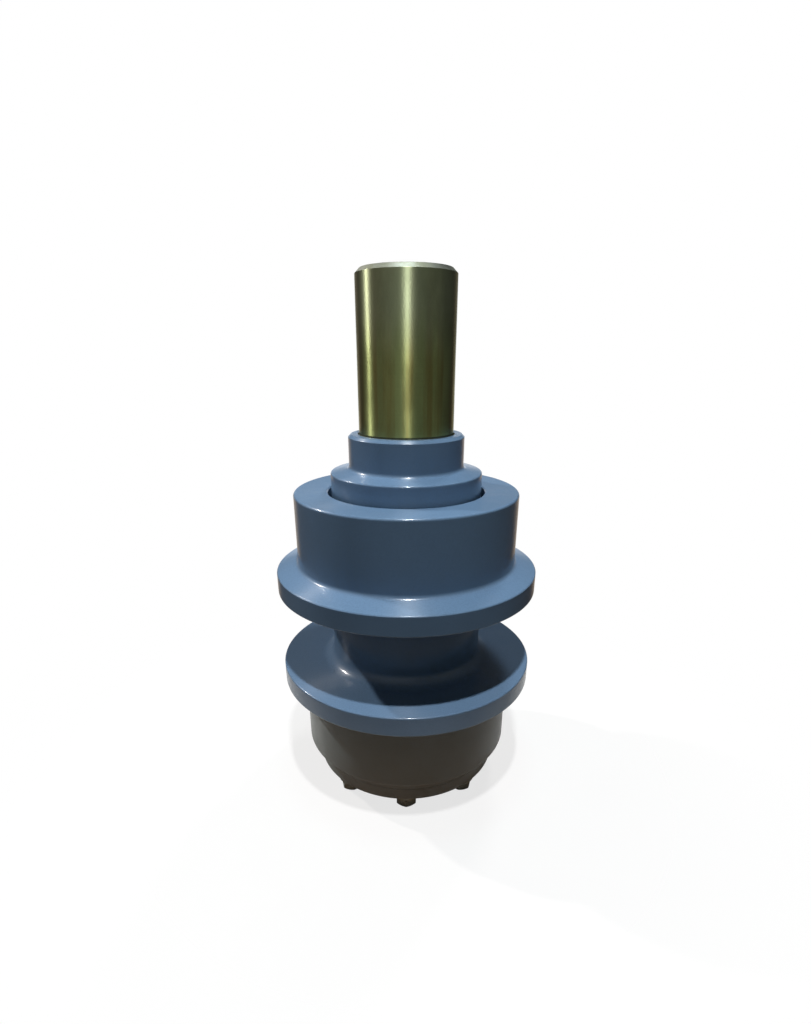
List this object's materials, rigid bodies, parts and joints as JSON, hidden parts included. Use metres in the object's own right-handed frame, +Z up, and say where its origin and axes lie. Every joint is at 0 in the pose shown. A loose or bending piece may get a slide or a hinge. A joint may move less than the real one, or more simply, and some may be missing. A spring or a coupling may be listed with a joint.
{
  "type": "excavator carrier roller",
  "caption": "Double-flanged track carrier roller that turns on a plain shaft, with a stepped collar, a face seal, bushes, and a bolted end cover.",
  "frame": {"origin": "centre of the plane that the heads of the cover bolts rest on", "axes": "+Z up the shaft's axis, from the end cover to the clamp end; a cover bolt lies on +X and on -Y"},
  "size_m": [0.235, 0.235, 0.4519],
  "materials": {
    "blue_grey_paint": "satin blue-grey enamel",
    "ground_steel": "ground and lightly oiled",
    "bolt_steel": "dark heat-treated",
    "painted_bolts": "satin, painted over with the roller",
    "plate_steel": "turned",
    "bronze": "machined",
    "seal_iron": "lapped on its face",
    "black_rubber": "moulded",
    "copper": "annealed"
  },
  "bodies": {
    "shaft_assembly": {"shaft": "ground_steel", "collar": "blue_grey_paint", "collar_dowel": "bolt_steel", "collar_o_ring": "black_rubber", "fixed_seal_ring": "seal_iron", "fixed_toric_ring": "black_rubber", "thrust_plate": "plate_steel", "thrust_bolts": "bolt_steel", "thrust_washers": "bolt_steel"},
    "roller": {"roller_body": "blue_grey_paint", "outer_bush": "bronze", "inner_bush": "bronze", "turning_seal_ring": "seal_iron", "turning_toric_ring": "black_rubber", "end_cover": "blue_grey_paint", "cover_o_ring": "black_rubber", "cover_bolts": "painted_bolts", "cover_spring_washers": "painted_bolts", "cover_plain_washers": "painted_bolts", "oil_plug": "bolt_steel", "oil_plug_seal": "copper"}
  },
  "joints": [
    {"name": "roller_spin", "type": "hinge", "parent": "shaft_assembly", "child": "roller", "pos_m": [0, 0, 0.159], "axis": [0, 0, 1], "continuous": true}
  ]
}
